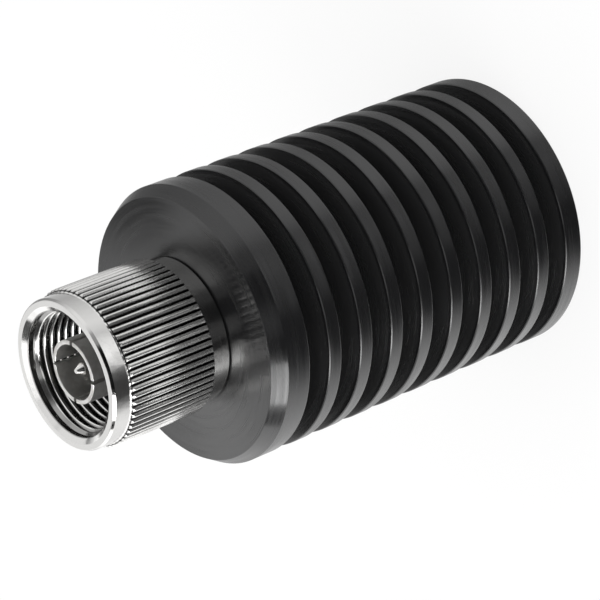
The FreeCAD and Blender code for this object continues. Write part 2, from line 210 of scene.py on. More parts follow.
class Graph:
    """A node tree that is built from expressions."""

    # A Mix node's colour sockets by number, because those of its other types have the same names
    MIX_FACTOR = 0
    MIX_FIRST = 6
    MIX_SECOND = 7
    MIX_RESULT = 2

    def __init__(self, tree: bpy.types.NodeTree) -> None:
        """Empty a node tree and build in it.

        Args:
            tree: the tree of a material or a world.
        """
        tree.nodes.clear()
        self.tree = tree

    def add(self, kind: str, settings: dict[str, Any], inputs: dict[Any, Any]) -> bpy.types.Node:
        """Add one node.

        Args:
            kind: the node's type.
            settings: its own settings, set first. The key "stops" fills a ramp with (place, grey) pairs.
            inputs: for each socket, by name or number, a value or a wire.

        Returns:
            The node.
        """
        node = self.tree.nodes.new(kind)
        for name, setting in settings.items():
            if name == "stops":
                self.fill_ramp(node.color_ramp, setting)
            else:
                setattr(node, name, setting)
        for key, value in inputs.items():
            if isinstance(value, Wire):
                self.tree.links.new(value.socket, node.inputs[key])
            else:
                node.inputs[key].default_value = value
        return node

    @staticmethod
    def fill_ramp(ramp: bpy.types.ColorRamp, stops: list[tuple[float, float]]) -> None:
        """Give a ramp its stops.

        Args:
            ramp: the ramp, with the two stops of a new one.
            stops: (place, grey) pairs in order.
        """
        while len(ramp.elements) < len(stops):
            ramp.elements.new(1.0)
        for element, (place, grey) in zip(ramp.elements, stops):
            element.position = place
            element.color = (grey, grey, grey, 1.0)

    def out(self, node: bpy.types.Node, name: str) -> Wire:
        """One output of a node as a wire."""
        return Wire(self, node.outputs[name])

    def split(self, coordinate: str) -> tuple[Wire, Wire, Wire]:
        """Split a texture coordinate.

        Args:
            coordinate: its name, such as Object, or Generated in a world.

        Returns:
            Its three parts.
        """
        source = self.add("ShaderNodeTexCoord", {}, {})
        parts = self.add("ShaderNodeSeparateXYZ", {}, {"Vector": self.out(source, coordinate)})
        return self.out(parts, "X"), self.out(parts, "Y"), self.out(parts, "Z")

    def join(self, x: Number, y: Number, z: Number) -> Wire:
        """Three values as one vector."""
        return self.out(self.add("ShaderNodeCombineXYZ", {}, {"X": x, "Y": y, "Z": z}), "Vector")

    def section(self) -> tuple[Wire, Wire]:
        """A point's place in the half section: its distance from the axis and its height, in millimetres."""
        x, y, z = self.split("Object")
        return (x * x + y * y) ** 0.5 / MM, z / MM

    def grain(self, size: float, detail: float = 2.0) -> Wire:
        """Even noise on Object coordinates.

        Args:
            size: the size of its grains in millimetres.
            detail: how many finer layers it has.

        Returns:
            The noise, about 0.5 on average.
        """
        source = self.add("ShaderNodeTexCoord", {}, {})
        inputs = {"Vector": self.out(source, "Object"), "Scale": 1 / (size * MM), "Detail": detail}
        return self.out(self.add("ShaderNodeTexNoise", {}, inputs), "Fac")

    def turning_lines(self, pitch: float, breaks: float) -> Wire:
        """Lines that a lathe tool leaves: noise that is fine across the cut and long round the axis.

        The noise is read at (cos a, sin a, z, r), with the first two stretched, so it closes after a turn.

        Args:
            pitch: the lines' spacing in millimetres, along the axis and along a radius.
            breaks: how often a line breaks up on its way round.

        Returns:
            The noise, about 0.5 on average.
        """
        x, y, z = self.split("Object")
        radius = (x * x + y * y + AXIS_GUARD) ** 0.5
        fine = 1 / (pitch * MM)
        vector = self.join(x / radius * breaks, y / radius * breaks, z * fine)
        inputs = {"Vector": vector, "W": radius * fine, "Scale": 1.0, "Detail": 2.0}
        return self.out(self.add("ShaderNodeTexNoise", {"noise_dimensions": "4D"}, inputs), "Fac")

    def blend(self, factor: Number, first: Colour, second: Colour) -> Wire:
        """Mix two colours.

        Args:
            factor: 0 for the first colour, 1 for the second.
            first: the first colour, linear.
            second: the second colour, linear.

        Returns:
            The mixed colour.
        """
        inputs = {self.MIX_FACTOR: factor, self.MIX_FIRST: (*first, 1.0), self.MIX_SECOND: (*second, 1.0)}
        node = self.add("ShaderNodeMix", {"data_type": "RGBA"}, inputs)
        return Wire(self, node.outputs[self.MIX_RESULT])

    def bump(self, height: Wire, depth: float, below: Wire | None = None) -> Wire:
        """Bump of a given depth.

        Args:
            height: 0 at the bottom and 1 at the top.
            depth: the distance between them in millimetres.
            below: a normal that this bump lies on.

        Returns:
            The bumped normal.
        """
        inputs = {"Height": height, "Distance": depth * MM, "Strength": 1.0}
        if below is not None:
            inputs["Normal"] = below
        return self.out(self.add("ShaderNodeBump", {}, inputs), "Normal")

    def surface(self, **sockets: Any) -> None:
        """Finish a material with one Principled shader.

        Args:
            sockets: the shader's inputs, with spaces in their names written as underscores.
        """
        inputs = {name.replace("_", " "): value for name, value in sockets.items()}
        shader = self.add("ShaderNodeBsdfPrincipled", {}, inputs)
        self.add("ShaderNodeOutputMaterial", {}, {"Surface": self.out(shader, "BSDF")})

    def mixed_surface(self, share: Number, first: Wire, second: Wire) -> None:
        """Finish a material with two shaders.

        Args:
            share: the second shader's share.
            first: the first shader.
            second: the second shader.
        """
        mixed = self.add("ShaderNodeMixShader", {}, dict(enumerate((share, first, second))))
        self.add("ShaderNodeOutputMaterial", {}, {"Surface": self.out(mixed, "Shader")})


def new_graph(name: str) -> tuple[bpy.types.Material, Graph]:
    """Start a material.

    Args:
        name: its name.

    Returns:
        The material and its empty graph.
    """
    material = bpy.data.materials.new(name)
    material.use_nodes = True
    return material, Graph(material.node_tree)


@dataclass(frozen=True)
class BlackAnodise:
    """Black anodised aluminium as turned: a film over fine lines, so its gloss is wide across the cut."""

    slot: Slot = Slot.BLACK_ANODISE
    film: Colour = (0.0075, 0.0075, 0.008)
    # The next colour is painted light: a lighter film in the grooves that lifts their shade
    groove_painted_light: Colour = (0.021, 0.021, 0.0215)
    groove_light_edge: tuple[float, float] = (17.7, 17.2)
    flange_rear: float = 45.8
    flange_blend: float = 0.1
    index: float = 1.6
    roughness: tuple[float, float] = (0.19, 0.29)
    anisotropy: float = 0.88
    line_pitch: float = 0.09
    line_depth: float = 0.0009
    band_pitch: float = 0.54

    def material(self) -> bpy.types.Material:
        """Build the finish: the grooves behind the flange get a lighter colour, painted light that lifts
        their shade.

        Returns:
            The material.
        """
        material, graph = new_graph("black_anodise")
        radius, height = graph.section()
        # Painted light: a mask of the grooves behind the flange, where the lighter colour goes
        groove = radius.rise(*self.groove_light_edge)
        groove = groove * height.rise(self.flange_rear + self.flange_blend, self.flange_rear)
        lines = graph.turning_lines(self.line_pitch, breaks=3.0)
        bands = graph.turning_lines(self.band_pitch, breaks=1.5)
        graph.surface(
            Base_Color=graph.blend(groove, self.film, self.groove_painted_light),
            Roughness=bands.rise(*ROUGHNESS_SPAN, *self.roughness),
            IOR=self.index,
            Anisotropic=self.anisotropy,
            Anisotropic_Rotation=ACROSS_LINES,
            Normal=graph.bump(lines, self.line_depth),
        )
        return material


@dataclass(frozen=True)
class BrightNickel:
    """Bright nickel plate on turned brass, with faint tool lines and a slightly uneven plate."""

    slot: Slot = Slot.NICKEL_PLATE
    plate: Colour = (0.66, 0.655, 0.645)
    # The next colour is painted shade: a near-black plate in the knurl's roots and the thread's flanks and
    # roots
    root_painted_shade: Colour = (0.008, 0.008, 0.0078)
    roughness: tuple[float, float] = (0.11, 0.18)
    anisotropy: float = 0.4
    line_pitch: float = 0.07
    line_depth: float = 0.0012
    mottle_size: float = 1.2
    mottle_shares: tuple[float, float] = (0.6, 0.4)
    pit_size: float = 0.16
    pit_depth: float = 0.002
    blend: float = 0.1
    knurl_ends: tuple[float, float] = (53.7, 66.2)
    knurl_edge: tuple[float, float] = (9.55, 9.6)
    knurl_shade_edge: tuple[float, float] = (9.87, 9.77)
    knurl_roughness: tuple[float, float] = (0.1, 0.2)
    knurl_pits: float = 8.0
    knurl_matt: float = 0.13
    thread_edge: float = 8.1
    thread_crest: tuple[float, float] = (7.5, 7.6)
    # How much of the painted shade the thread's flanks and roots get
    thread_painted_shade: float = 0.55
    thread_lines: float = 5.0

    def material(self) -> bpy.types.Material:
        """Build the finish: the knurl is pitted, the thread has deeper lines, and the knurl's roots and the
        thread's flanks and roots are painted dark as shade.

        Returns:
            The material.
        """
        material, graph = new_graph("bright_nickel")
        radius, height = graph.section()
        rear, front = self.knurl_ends
        knurl = height.rise(rear - self.blend, rear) * height.rise(front + self.blend, front)
        knurl = knurl * radius.rise(*self.knurl_edge)
        thread = radius.rise(self.thread_edge, self.thread_edge - self.blend)
        flank = thread * radius.rise(*self.thread_crest)
        # Painted shade: the knurl's roots fully, and the thread's flanks and roots in part, go towards the
        # near-black colour
        painted_shade = knurl * radius.rise(*self.knurl_shade_edge) + flank * self.thread_painted_shade
        pits = graph.grain(self.pit_size)
        coarse_share, fine_share = self.mottle_shares
        mottle = graph.grain(self.mottle_size, detail=3.0) * coarse_share + pits * fine_share
        roughness = mottle.rise(*MOTTLE_SPAN, *self.roughness) * (1 - knurl)
        roughness = roughness + mottle.rise(*MOTTLE_SPAN, *self.knurl_roughness) * knurl
        relief = graph.bump(pits * (1 + knurl * (self.knurl_pits - 1)), self.pit_depth)
        lines = graph.turning_lines(self.line_pitch, breaks=2.0) * (1 + thread * (self.thread_lines - 1))
        graph.surface(
            Base_Color=graph.blend(painted_shade, self.plate, self.root_painted_shade),
            Metallic=1 - knurl * self.knurl_matt,
            Roughness=roughness,
            Anisotropic=self.anisotropy,
            Anisotropic_Rotation=ACROSS_LINES,
            Normal=graph.bump(lines, self.line_depth, relief),
        )
        return material


@dataclass(frozen=True)
class TurnedMetal:
    """Plain turned metal, bare or plated: two close tones, tool lines and a little grain."""

    name: str
    slot: Slot
    tone: Colour
    tone_dull: Colour
    roughness: tuple[float, float] = (0.18, 0.3)
    line_pitch: float = 0.08
    line_depth: float = 0.001
    cloud_size: float = 1.0

    def material(self) -> bpy.types.Material:
        """Build the finish.

        Returns:
            The material.
        """
        material, graph = new_graph(self.name)
        cloud = graph.grain(self.cloud_size, detail=3.0)
        lines = graph.turning_lines(self.line_pitch, breaks=2.0)
        graph.surface(
            Base_Color=graph.blend(cloud.rise(*TONE_SPAN), self.tone, self.tone_dull),
            Metallic=1.0,
            Roughness=cloud.rise(*ROUGHNESS_SPAN, *self.roughness),
            Normal=graph.bump(lines, self.line_depth),
        )
        return material


@dataclass(frozen=True)
class DarkSolid:
    """A dark material that isn't metal, such as rubber, plastic or a film on ceramic."""

    name: str
    slot: Slot
    tone: Colour
    tone_worn: Colour
    roughness: tuple[float, float]
    grain_size: float = 0.12
    grain_depth: float = 0.006
    cloud_size: float = 1.5

    def material(self) -> bpy.types.Material:
        """Build the finish.

        Returns:
            The material.
        """
        material, graph = new_graph(self.name)
        cloud = graph.grain(self.cloud_size, detail=3.0)
        graph.surface(
            Base_Color=graph.blend(cloud.rise(*TONE_SPAN), self.tone, self.tone_worn),
            Roughness=cloud.rise(*ROUGHNESS_SPAN, *self.roughness),
            Normal=graph.bump(graph.grain(self.grain_size), self.grain_depth),
        )
        return material


CONTACT_PLATE = TurnedMetal(
    "contact_plate", Slot.BRIGHT_CONTACT, (0.74, 0.735, 0.72), (0.6, 0.59, 0.57), (0.1, 0.2)
)
FERRULE_PLATE = TurnedMetal(
    "ferrule_plate", Slot.BRIGHT_CONTACT, (0.66, 0.655, 0.64), (0.52, 0.51, 0.49), (0.34, 0.46)
)
SPRING_BRONZE = TurnedMetal("spring_bronze", Slot.SPRING_BRONZE, (0.62, 0.42, 0.26), (0.45, 0.28, 0.16))
BARE_BRASS = TurnedMetal("bare_brass", Slot.BARE_BRASS, (0.74, 0.58, 0.3), (0.6, 0.44, 0.2))
SPRING_STEEL = TurnedMetal(
    "spring_steel", Slot.SPRING_STEEL, (0.5, 0.5, 0.5), (0.38, 0.38, 0.39), (0.25, 0.4)
)
BLACK_RUBBER = DarkSolid(
    "black_rubber", Slot.BLACK_RUBBER, (0.016, 0.016, 0.016), (0.024, 0.024, 0.024), (0.45, 0.6)
)
DARK_INSULATOR = DarkSolid(
    "dark_insulator", Slot.DARK_INSULATOR, (0.03, 0.029, 0.028), (0.042, 0.04, 0.038), (0.32, 0.45),
    grain_size=0.2, grain_depth=0.002,
)
CERAMIC_FILM = DarkSolid(
    "ceramic_film", Slot.CERAMIC_FILM, (0.2, 0.165, 0.14), (0.27, 0.23, 0.2), (0.5, 0.65),
    grain_size=0.1, grain_depth=0.004,
)

Finish = Union[BlackAnodise, BrightNickel, TurnedMetal, DarkSolid]


@dataclass
class Outline:
    """Half section of a turned piece: (radius, height) corners, anticlockwise, each with its rounding.

    The piece is on the left of the way from corner to corner.
    """

    corners: list[tuple[float, float, float]] = field(default_factory=list)

    def to(self, radius: float, height: float, rounding: float = 0.0) -> "Outline":
        """Add a corner.

        Args:
            radius: its distance from the axis.
            height: its height.
            rounding: the radius of its edge break. 0 leaves it sharp.

        Returns:
            The outline, so that corners can follow each other.
        """
        self.corners.append((radius, height, rounding))
        return self

    def points(self, steps: int = 4, margin: float = 0.03) -> np.ndarray:
        """The outline with its edges broken.

        A corner P between the directions a and b, which turns by t, becomes an arc of radius q. It starts at
        P - a q tan(t / 2), and its point at the angle s is start + q (a sin s + n (1 - cos s)), with n square
        to a on the side of the turn. One more point a margin before and after each arc keeps the flats beside
        it flat.

        Args:
            steps: how many chords an arc has.
            margin: how far the points beside an arc lie from it.

        Returns:
            Rows of (radius, height).
        """
        table = np.array(self.corners)
        place, rounding = table[:, :2], table[:, 2]
        ahead = np.roll(place, -1, axis=0) - place
        ahead /= np.linalg.norm(ahead, axis=1, keepdims=True)
        into = np.roll(ahead, 1, axis=0)
        turn = np.arctan2(into[:, 0] * ahead[:, 1] - into[:, 1] * ahead[:, 0], (into * ahead).sum(1))
        square = np.sign(turn)[:, None] * np.stack([-into[:, 1], into[:, 0]], axis=1)
        start = place - into * (rounding * np.tan(np.abs(turn) / 2))[:, None]
        angle = np.linspace(0, 1, steps + 1) * np.abs(turn)[:, None]
        reach = np.sin(angle)[..., None] * into[:, None] + (1 - np.cos(angle))[..., None] * square[:, None]
        arc = start[:, None] + rounding[:, None, None] * reach
        before = (start - into * margin)[:, None]
        after = (arc[:, -1] + ahead * margin)[:, None]
        rows = np.concatenate([before, arc, after], axis=1)
        kept = np.repeat((rounding > 0)[:, None], rows.shape[1], axis=1)
        kept[:, 1] = True
        return rows[kept]


def ring_grid(rows: np.ndarray, angles: np.ndarray) -> np.ndarray:
    """Points of a surface of revolution: (r, z) at the angle a lies at (r cos a, r sin a, z).

    Args:
        rows: (radius, height) for each row, or one such table for each angle.
        angles: the columns' angles, or a table of them for each row.

    Returns:
        Points, row by row and then angle by angle.
    """
    radius, height = rows[..., 0], rows[..., 1]
    if rows.ndim == 2:
        radius, height = radius[:, None], height[:, None]
    radius, height, around = np.broadcast_arrays(radius, height, angles)
    return np.stack([radius * np.cos(around), radius * np.sin(around), height], axis=-1)


def ring_quads(rows: int, columns: int, closed: bool = False) -> np.ndarray:
    """Quads of a grid whose columns close into a ring, as corner numbers.

    Args:
        rows: how many rows the grid has.
        columns: how many columns it has.
        closed: whether the last row joins the first.

    Returns:
        Four corner numbers for each quad, by row and column, facing outwards.
    """
    number = np.arange(rows * columns).reshape(rows, columns)
    beside = np.roll(number, -1, axis=1)
    quads = np.stack([number, beside, np.roll(beside, -1, axis=0), np.roll(number, -1, axis=0)], axis=-1)
    return quads if closed else quads[:-1]


def make_piece(name: str, points: np.ndarray, quads: np.ndarray, crease: float = 38.0) -> bpy.types.Object:
    """Make an object of a mesh, with its seams and poles closed and its sharp edges kept sharp.

    Args:
        name: the object's name.
        points: its points in millimetres.
        quads: four corner numbers for each face, facing outwards.
        crease: an edge that turns by more than this many degrees is sharp.

    Returns:
        The object, at the origin.
    """
    points, quads = points.reshape(-1, 3) * MM, quads.reshape(-1, 4)
    mesh = bpy.data.meshes.new(name)
    mesh.vertices.add(len(points))
    mesh.vertices.foreach_set("co", points.ravel())
    mesh.loops.add(quads.size)
    mesh.loops.foreach_set("vertex_index", quads.ravel())
    mesh.polygons.add(len(quads))
    mesh.polygons.foreach_set("loop_start", np.arange(0, quads.size, 4))
    mesh.update(calc_edges=True)
    work = bmesh.new()
    work.from_mesh(mesh)
    bmesh.ops.remove_doubles(work, verts=work.verts, dist=MERGE_DISTANCE * MM)
    work.to_mesh(mesh)
    work.free()
    mesh.polygons.foreach_set("use_smooth", np.ones(len(mesh.polygons), dtype=bool))
    mesh.set_sharp_from_angle(angle=math.radians(crease))
    mesh.update()
    piece = bpy.data.objects.new(name, mesh)
    bpy.context.scene.collection.objects.link(piece)
    return piece


def turn_piece(name: str, outline: Outline, columns: int) -> bpy.types.Object:
    """Turn a closed half section about the axis.

    Args:
        name: the object's name.
        outline: the half section. Corners on the axis make the poles.
        columns: how many columns the surface has.

    Returns:
        The object.
    """
    rows = outline.points()
    angles = np.arange(columns) * FULL_TURN / columns
    return make_piece(name, ring_grid(rows, angles), ring_quads(len(rows), columns, closed=True))


def dress(piece: bpy.types.Object, material: bpy.types.Material) -> None:
    """Give a piece one material on its whole surface."""
    piece.data.materials.clear()
    piece.data.materials.append(material)


@dataclass
class Heatsink:
    """Turned black bar: a front flange with a wide chamfer, square grooves between thin fins, a rear disc."""

    radius: float = 18.0
    core: float = 10.5
    length: float = 51.0
    rear_disc: float = 2.7
    groove: float = 3.1
    fin: float = 1.9
    fins: int = 8
    chamfer_length: float = 1.85
    chamfer_depth: float = 1.1
    edge_break: float = 0.16
    front_bevel: float = 0.11
    bevel_break: float = 0.02
    chamfer_break: float = 0.08
    seat_radius: float = 9.0
    seat_height: float = 47.4
    bore_radius: float = 8.0
    bore_floor: float = 9.0
    columns: int = 240

    def outline(self) -> Outline:
        """Draw the half section, from the rear face's centre outward and forward.

        Returns:
            The half section.
        """
        outline = Outline().to(0, 0).to(self.radius, 0, self.edge_break)
        for groove in range(self.fins + 1):
            rear = self.rear_disc + groove * (self.groove + self.fin)
            front = rear + self.groove
            outline.to(self.radius, rear - self.front_bevel, self.bevel_break)
            outline.to(self.radius - self.front_bevel, rear, self.bevel_break).to(self.core, rear)
            outline.to(self.core, front).to(self.radius, front, self.edge_break)
        face_radius = self.radius - self.chamfer_depth
        outline.to(self.radius, self.length - self.chamfer_length, self.chamfer_break)
        outline.to(face_radius, self.length, self.chamfer_break).to(self.seat_radius, self.length)
        outline.to(self.seat_radius, self.seat_height).to(self.bore_radius, self.seat_height)
        return outline.to(self.bore_radius, self.bore_floor).to(0, self.bore_floor)

    def build(self, finish: BlackAnodise) -> int:
        """Build the heatsink in place of its solid.

        Args:
            finish: its finish.

        Returns:
            How many faces it has.
        """
        piece = turn_piece("heatsink_turned", self.outline(), self.columns)
        dress(piece, finish.material())
        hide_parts("heatsink")
        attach(piece, Body.TERMINATOR.value)
        return len(piece.data.polygons)


@dataclass
class CouplingNut:
    """Knurled nut with a threaded mouth. It is one surface whose columns follow the knurl's teeth."""

    rear: float = 51.15
    front: float = 68.85
    teeth: int = 66
    knurl_radius: float = 10.05
    knurl_depth: float = 0.42
    knurl_land: float = 0.2
    land_break: float = 0.05
    knurl_start: float = 54.0
    knurl_end: float = 65.9
    bevel: float = 0.5
    bevel_rows: int = 8
    rear_collar: float = 9.4
    front_collar: float = 9.57
    front_bevel: tuple[float, float] = (0.19, 0.4)
    bevel_break: float = 0.1
    edge_break: float = 0.12
    mouth_flare: tuple[float, float] = (0.7, 0.5)
    mouth_break: float = 0.05
    mouth_end: float = 67.7
    minor_radius: float = 7.43
    major_radius: float = 7.95
    pitch: float = 1.0583
    relief_radius: float = 8.05
    thread_end: float = 59.56
    shoulder: float = 57.4
    bore_radius: float = 7.05
    ring_groove_radius: float = 7.5
    ring_groove: tuple[float, float] = (53.9, 55.1)
    thread_start: float = 0.38
    thread_rows: tuple[float, ...] = (
        0.0, 0.11, 0.14, 0.21, 0.28, 0.35, 0.43, 0.57, 0.65, 0.72, 0.79, 0.86, 0.89,
    )
    thread_flank: tuple[float, float] = (0.125, 0.4375)

    def teeth_at(self, top: np.ndarray) -> tuple[np.ndarray, np.ndarray]:
        """The knurl's columns and radii where its teeth are as high as `top`.

        Measured in tooth pitches from a tooth's middle, a tooth is flat up to its land's edge e, and its
        flank falls straight to the root at 0.5. A lower top cuts the flanks further out: e is the land's half
        width plus the share of the depth that is cut away, times the flank's width. Six columns to a tooth
        lie at the root, on both sides of each edge, and on the middle. The two beside an edge make its small
        break.

        Args:
            top: the turned form's radius at each row.

        Returns:
            The columns' angles and radii, row by row.
        """
        land = self.knurl_land * self.teeth / (FULL_TURN * self.knurl_radius) / 2
        cut = np.clip((self.knurl_radius - top) / self.knurl_depth, 0, 1)[:, None]
        edge = land + (0.5 - land) * cut
        inner = np.maximum(edge - self.land_break, 0.5 * edge)
        outer = np.minimum(edge + self.land_break, 0.5)
        zero, root = np.zeros_like(edge), np.full_like(edge, 0.5)
        place = np.concatenate([-root, -outer, -inner, zero, inner, outer], axis=1)
        away = np.abs(place)
        flank = self.knurl_radius - self.knurl_depth * (away - land) / (0.5 - land)
        radius = np.minimum(top[:, None], np.maximum(flank, self.knurl_radius - self.knurl_depth))
        radius = np.where(cut >= 1, top[:, None], radius)
        angle = np.arange(self.teeth)[None, :, None] + place[:, None, :]
        angle = angle.reshape(len(top), -1) * FULL_TURN / self.teeth
        return angle, np.tile(radius, (1, self.teeth))

    def outside(self) -> np.ndarray:
        """The turned form but for the thread.

        Returns:
            Rows of (radius, height), from the thread's rear end round the outside to the mouth.
        """
        collar_start = self.knurl_start - self.bevel
        collar_end = self.knurl_end + self.bevel
        groove_rear, groove_front = self.ring_groove
        inner = Outline().to(self.relief_radius, self.thread_end).to(self.relief_radius, self.shoulder)
        inner.to(self.bore_radius, self.shoulder).to(self.bore_radius, groove_front)
        inner.to(self.ring_groove_radius, groove_front).to(self.ring_groove_radius, groove_rear)
        inner.to(self.bore_radius, groove_rear).to(self.bore_radius, self.rear, self.edge_break)
        inner.to(self.rear_collar, self.rear, self.edge_break).to(self.rear_collar, collar_start)
        radius = np.linspace(self.knurl_radius - self.knurl_depth, self.knurl_radius, self.bevel_rows)
        rear_share = (radius - self.rear_collar) / (self.knurl_radius - self.rear_collar)
        front_share = (radius - self.front_collar) / (self.knurl_radius - self.front_collar)
        rear_slope = np.stack([radius, collar_start + rear_share * self.bevel], axis=1)
        front_slope = np.stack([radius, collar_end - front_share * self.bevel], axis=1)[::-1]
        flare_width, flare_depth = self.mouth_flare
        bevel_depth, bevel_length = self.front_bevel
        face = Outline().to(self.front_collar, collar_end)
        face.to(self.front_collar, self.front - bevel_length, self.bevel_break)
        face.to(self.front_collar - bevel_depth, self.front, self.bevel_break)
        face.to(self.major_radius + flare_width, self.front, self.mouth_break)
        face.to(self.major_radius, self.front - flare_depth, self.mouth_break)
        face.to(self.major_radius, self.mouth_end)
        return np.concatenate([inner.points(), rear_slope, front_slope, face.points()])

    def thread(self, angles: np.ndarray) -> tuple[np.ndarray, np.ndarray]:
        """The coupling thread, whose rows follow the helix.

        Row q of the column at the angle a lies at the height z = mouth end + pitch (start + a / 2 pi - q),
        held between the thread's two ends. Its radius is minor + d(q), where d is 0 on the crests and the
        full depth at the roots, and goes straight from one to the other over the flank. It is no less than
        the two cones that open the thread's ends at 45 degrees. After a full turn the row q meets the row
        q - 1, which is one set of rows further up.

        Args:
            angles: the columns' angles.

        Returns:
            The points, and the quads as corner numbers.
        """
        phases = np.array(self.thread_rows)
        per_turn = len(phases)
        turns = math.ceil((self.mouth_end - self.thread_end) / self.pitch + self.thread_start) + 1
        row = (np.arange(turns)[:, None] + phases).ravel()
        depth = self.major_radius - self.minor_radius
        from_crest = 0.5 - np.abs(row % 1 - 0.5)
        flank_start, flank_end = self.thread_flank
        cut = depth * np.clip((from_crest - flank_start) / (flank_end - flank_start), 0, 1)
        lead = (angles - angles[0]) / FULL_TURN + self.thread_start
        height = self.mouth_end + self.pitch * (lead[None] - row[:, None])
        height = np.clip(height, self.thread_end, self.mouth_end)
        radius = np.broadcast_to((self.minor_radius + cut)[:, None], height.shape)
        radius = np.maximum(radius, self.major_radius - (self.mouth_end - height))
        radius = np.maximum(radius, self.relief_radius - (height - self.thread_end))
        number = np.arange(height.size).reshape(height.shape)
        wrapped = number[np.maximum(np.arange(len(row)) - per_turn, 0), 0]
        beside = np.concatenate([number[:, 1:], wrapped[:, None]], axis=1)
        quads = np.stack([number[:-1], beside[:-1], beside[1:], number[1:]], axis=-1)
        return ring_grid(np.stack([radius, height], axis=-1), angles), quads

    def build(self, finish: BrightNickel) -> int:
        """Build the nut in place of its solid.

        Rows between the collars follow the knurl. The collars' rows and those inside the nut are round, and
        have the columns of a full tooth.

        Args:
            finish: its finish.

        Returns:
            How many faces it has.
        """
        rows = self.outside()
        angles, radius = self.teeth_at(rows[:, 0])
        plain = (rows[:, 1] < self.knurl_start - self.bevel) | (rows[:, 1] > self.knurl_end + self.bevel)
        plain |= rows[:, 0] < self.rear_collar
        full_tooth = self.teeth_at(np.array([self.knurl_radius]))[0]
        angles = np.where(plain[:, None], full_tooth, angles)
        radius = np.where(plain[:, None], rows[:, :1], radius)
        height = np.broadcast_to(rows[:, 1:], radius.shape)
        outside = ring_grid(np.stack([radius, height], axis=-1), angles)
        thread, thread_quads = self.thread(full_tooth[0])
        points = np.concatenate([outside.reshape(-1, 3), thread.reshape(-1, 3)])
        quads = ring_quads(*radius.shape).reshape(-1, 4)
        quads = np.concatenate([quads, thread_quads.reshape(-1, 4) + radius.size])
        piece = make_piece("coupling_nut_knurled", points, quads)
        dress(piece, finish.material())
        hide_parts("coupling_nut")
        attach(piece, Body.NUT.value)
        return len(piece.data.polygons)


